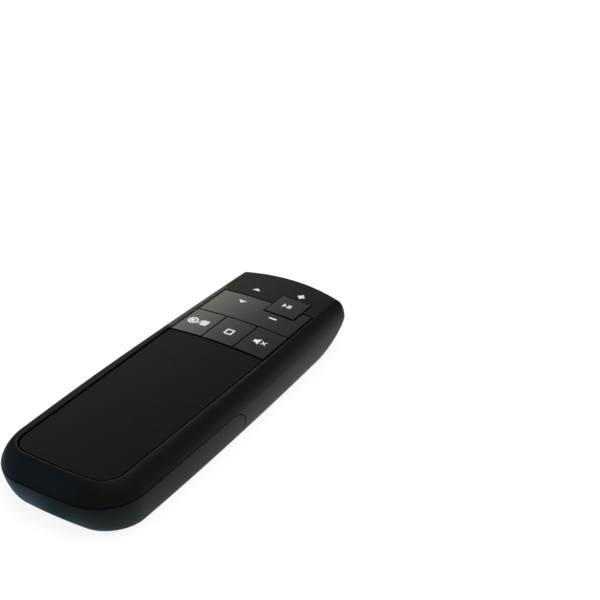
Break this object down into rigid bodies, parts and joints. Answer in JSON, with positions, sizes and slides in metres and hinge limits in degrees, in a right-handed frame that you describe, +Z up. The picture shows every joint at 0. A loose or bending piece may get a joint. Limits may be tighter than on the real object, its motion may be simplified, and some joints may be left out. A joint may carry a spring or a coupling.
{
  "type": "wireless presentation clicker",
  "caption": "Slim hand-held clicker with a touch panel, a rocking wide key, small keys, a side slider, a laser in the nose and a sliding battery door.",
  "frame": {"origin": "middle of the footprint, on the surface that the underside rests on", "axes": "+Y out of the nose along the laser beam, +X to the right seen from above with the nose away, +Z up out of the touch panel"},
  "size_m": [0.0446, 0.1218, 0.0161],
  "materials": {
    "soft_shell": "soft-touch painted ABS, very dark warm grey",
    "inner_plastic": "black moulded ABS with a fine spark-eroded texture",
    "touch_surface": "fine-grained matte touch surface",
    "key_satin": "satin painted key caps with white printed symbols",
    "slider_plastic": "satin moulded plastic",
    "circuit_board": "glass-epoxy board with green solder mask",
    "flex": "amber polyimide flex",
    "plated_steel": "nickel-plated spring steel",
    "laser_brass": "turned brass",
    "lens": "moulded acrylic lens",
    "window": "dark red acrylic window",
    "cell_sleeve": null
  },
  "bodies": {
    "housing": {"top_housing": "soft_shell", "bottom_housing": "inner_plastic", "touch_panel": "touch_surface", "touch_sensor": "circuit_board", "sensor_ribbon": "flex", "key_carrier": "inner_plastic", "main_board": "circuit_board", "tact_switches": "plated_steel", "radio_chip": "inner_plastic", "laser_barrel": "laser_brass", "laser_lens": "lens", "laser_driver": "circuit_board", "laser_window": "window", "power_switch": "plated_steel", "battery_left": "cell_sleeve", "battery_right": "cell_sleeve", "battery_springs": "plated_steel", "battery_contacts": "plated_steel", "usb_receiver": "inner_plastic", "receiver_plug": "plated_steel", "housing_screws": "plated_steel", "board_screws": "plated_steel"},
    "wide_key": {"nav_plate": "key_satin"},
    "play_button": {"play_key": "key_satin"},
    "left_button": {"left_key": "key_satin"},
    "centre_button": {"centre_key": "key_satin"},
    "right_button": {"right_key": "key_satin"},
    "slider": {"power_slider": "slider_plastic"},
    "door": {"battery_door": "soft_shell"}
  },
  "joints": [
    {"name": "wide_key_rock", "type": "hinge", "parent": "housing", "child": "wide_key", "pos_m": [0, 0.0369, 0.01375], "axis": [0, 1, 0], "range_deg": [-1.8, 1.8], "stiffness_Nm_per_rad": 0.4},
    {"name": "play_press", "type": "slide", "parent": "housing", "child": "play_button", "axis": [0, 0, -1], "range_m": [0, 0.00035], "stiffness_N_per_m": 1000, "springref_m": -0.0004},
    {"name": "left_press", "type": "slide", "parent": "housing", "child": "left_button", "axis": [0, 0, -1], "range_m": [0, 0.00035], "stiffness_N_per_m": 1000, "springref_m": -0.0004},
    {"name": "centre_press", "type": "slide", "parent": "housing", "child": "centre_button", "axis": [0, 0, -1], "range_m": [0, 0.00035], "stiffness_N_per_m": 1000, "springref_m": -0.0004},
    {"name": "right_press", "type": "slide", "parent": "housing", "child": "right_button", "axis": [0, 0, -1], "range_m": [0, 0.00035], "stiffness_N_per_m": 1000, "springref_m": -0.0004},
    {"name": "slider_slide", "type": "slide", "parent": "housing", "child": "slider", "axis": [0, 1, 0], "range_m": [0, 0.003]},
    {"name": "door_slide", "type": "slide", "parent": "housing", "child": "door", "axis": [0, -1, 0], "range_m": [0, 0.043]}
  ]
}
